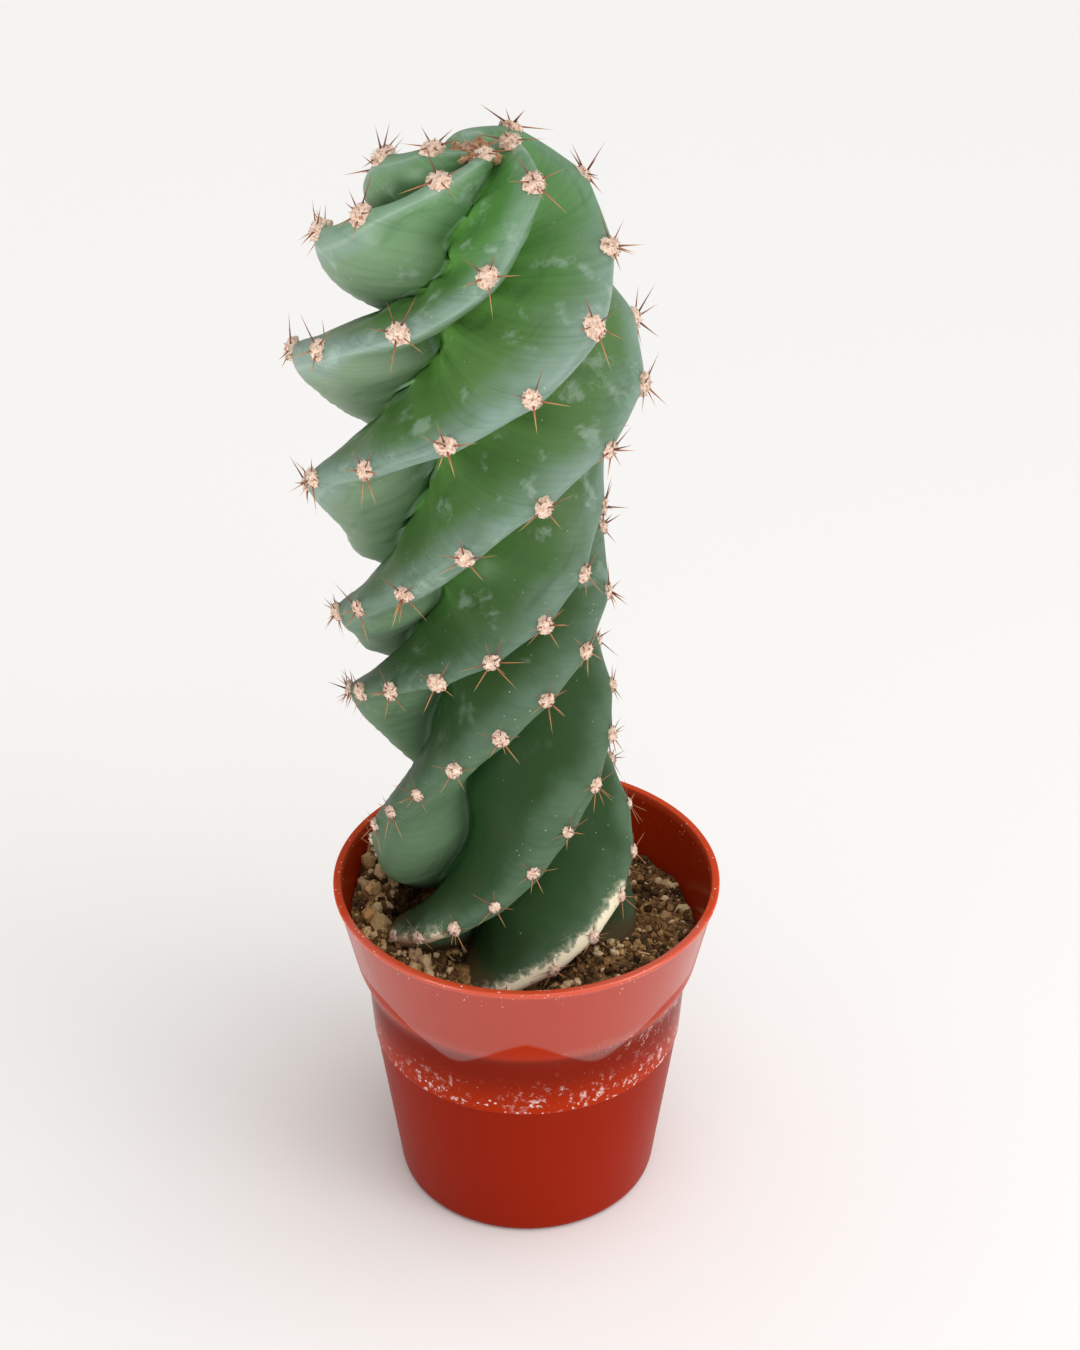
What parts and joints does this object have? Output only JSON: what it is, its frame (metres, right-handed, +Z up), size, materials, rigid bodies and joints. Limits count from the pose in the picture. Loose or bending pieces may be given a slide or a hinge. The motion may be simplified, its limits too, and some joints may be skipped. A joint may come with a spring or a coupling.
{
  "type": "potted spiral cactus",
  "caption": "Columnar cactus whose deep ribs wind up it in a spiral, with spined felt areoles, standing in soil in a round tapered nursery pot with drain holes.",
  "frame": {"origin": "centre of the pot's underside", "axes": "+Z up the cactus, +X to the right and -Y towards the viewer as pictured"},
  "size_m": [0.1271, 0.12, 0.3542],
  "materials": {
    "pot_plastic": "satin",
    "soil": "matte",
    "cactus_skin": "satin",
    "stone": "matte"
  },
  "bodies": {
    "root": {"pot": "pot_plastic", "soil": "soil", "cactus": "cactus_skin", "stone_1": "stone", "stone_2": "stone", "stone_3": "stone", "stone_4": "stone", "stone_5": "stone", "stone_6": "stone"}
  },
  "joints": []
}
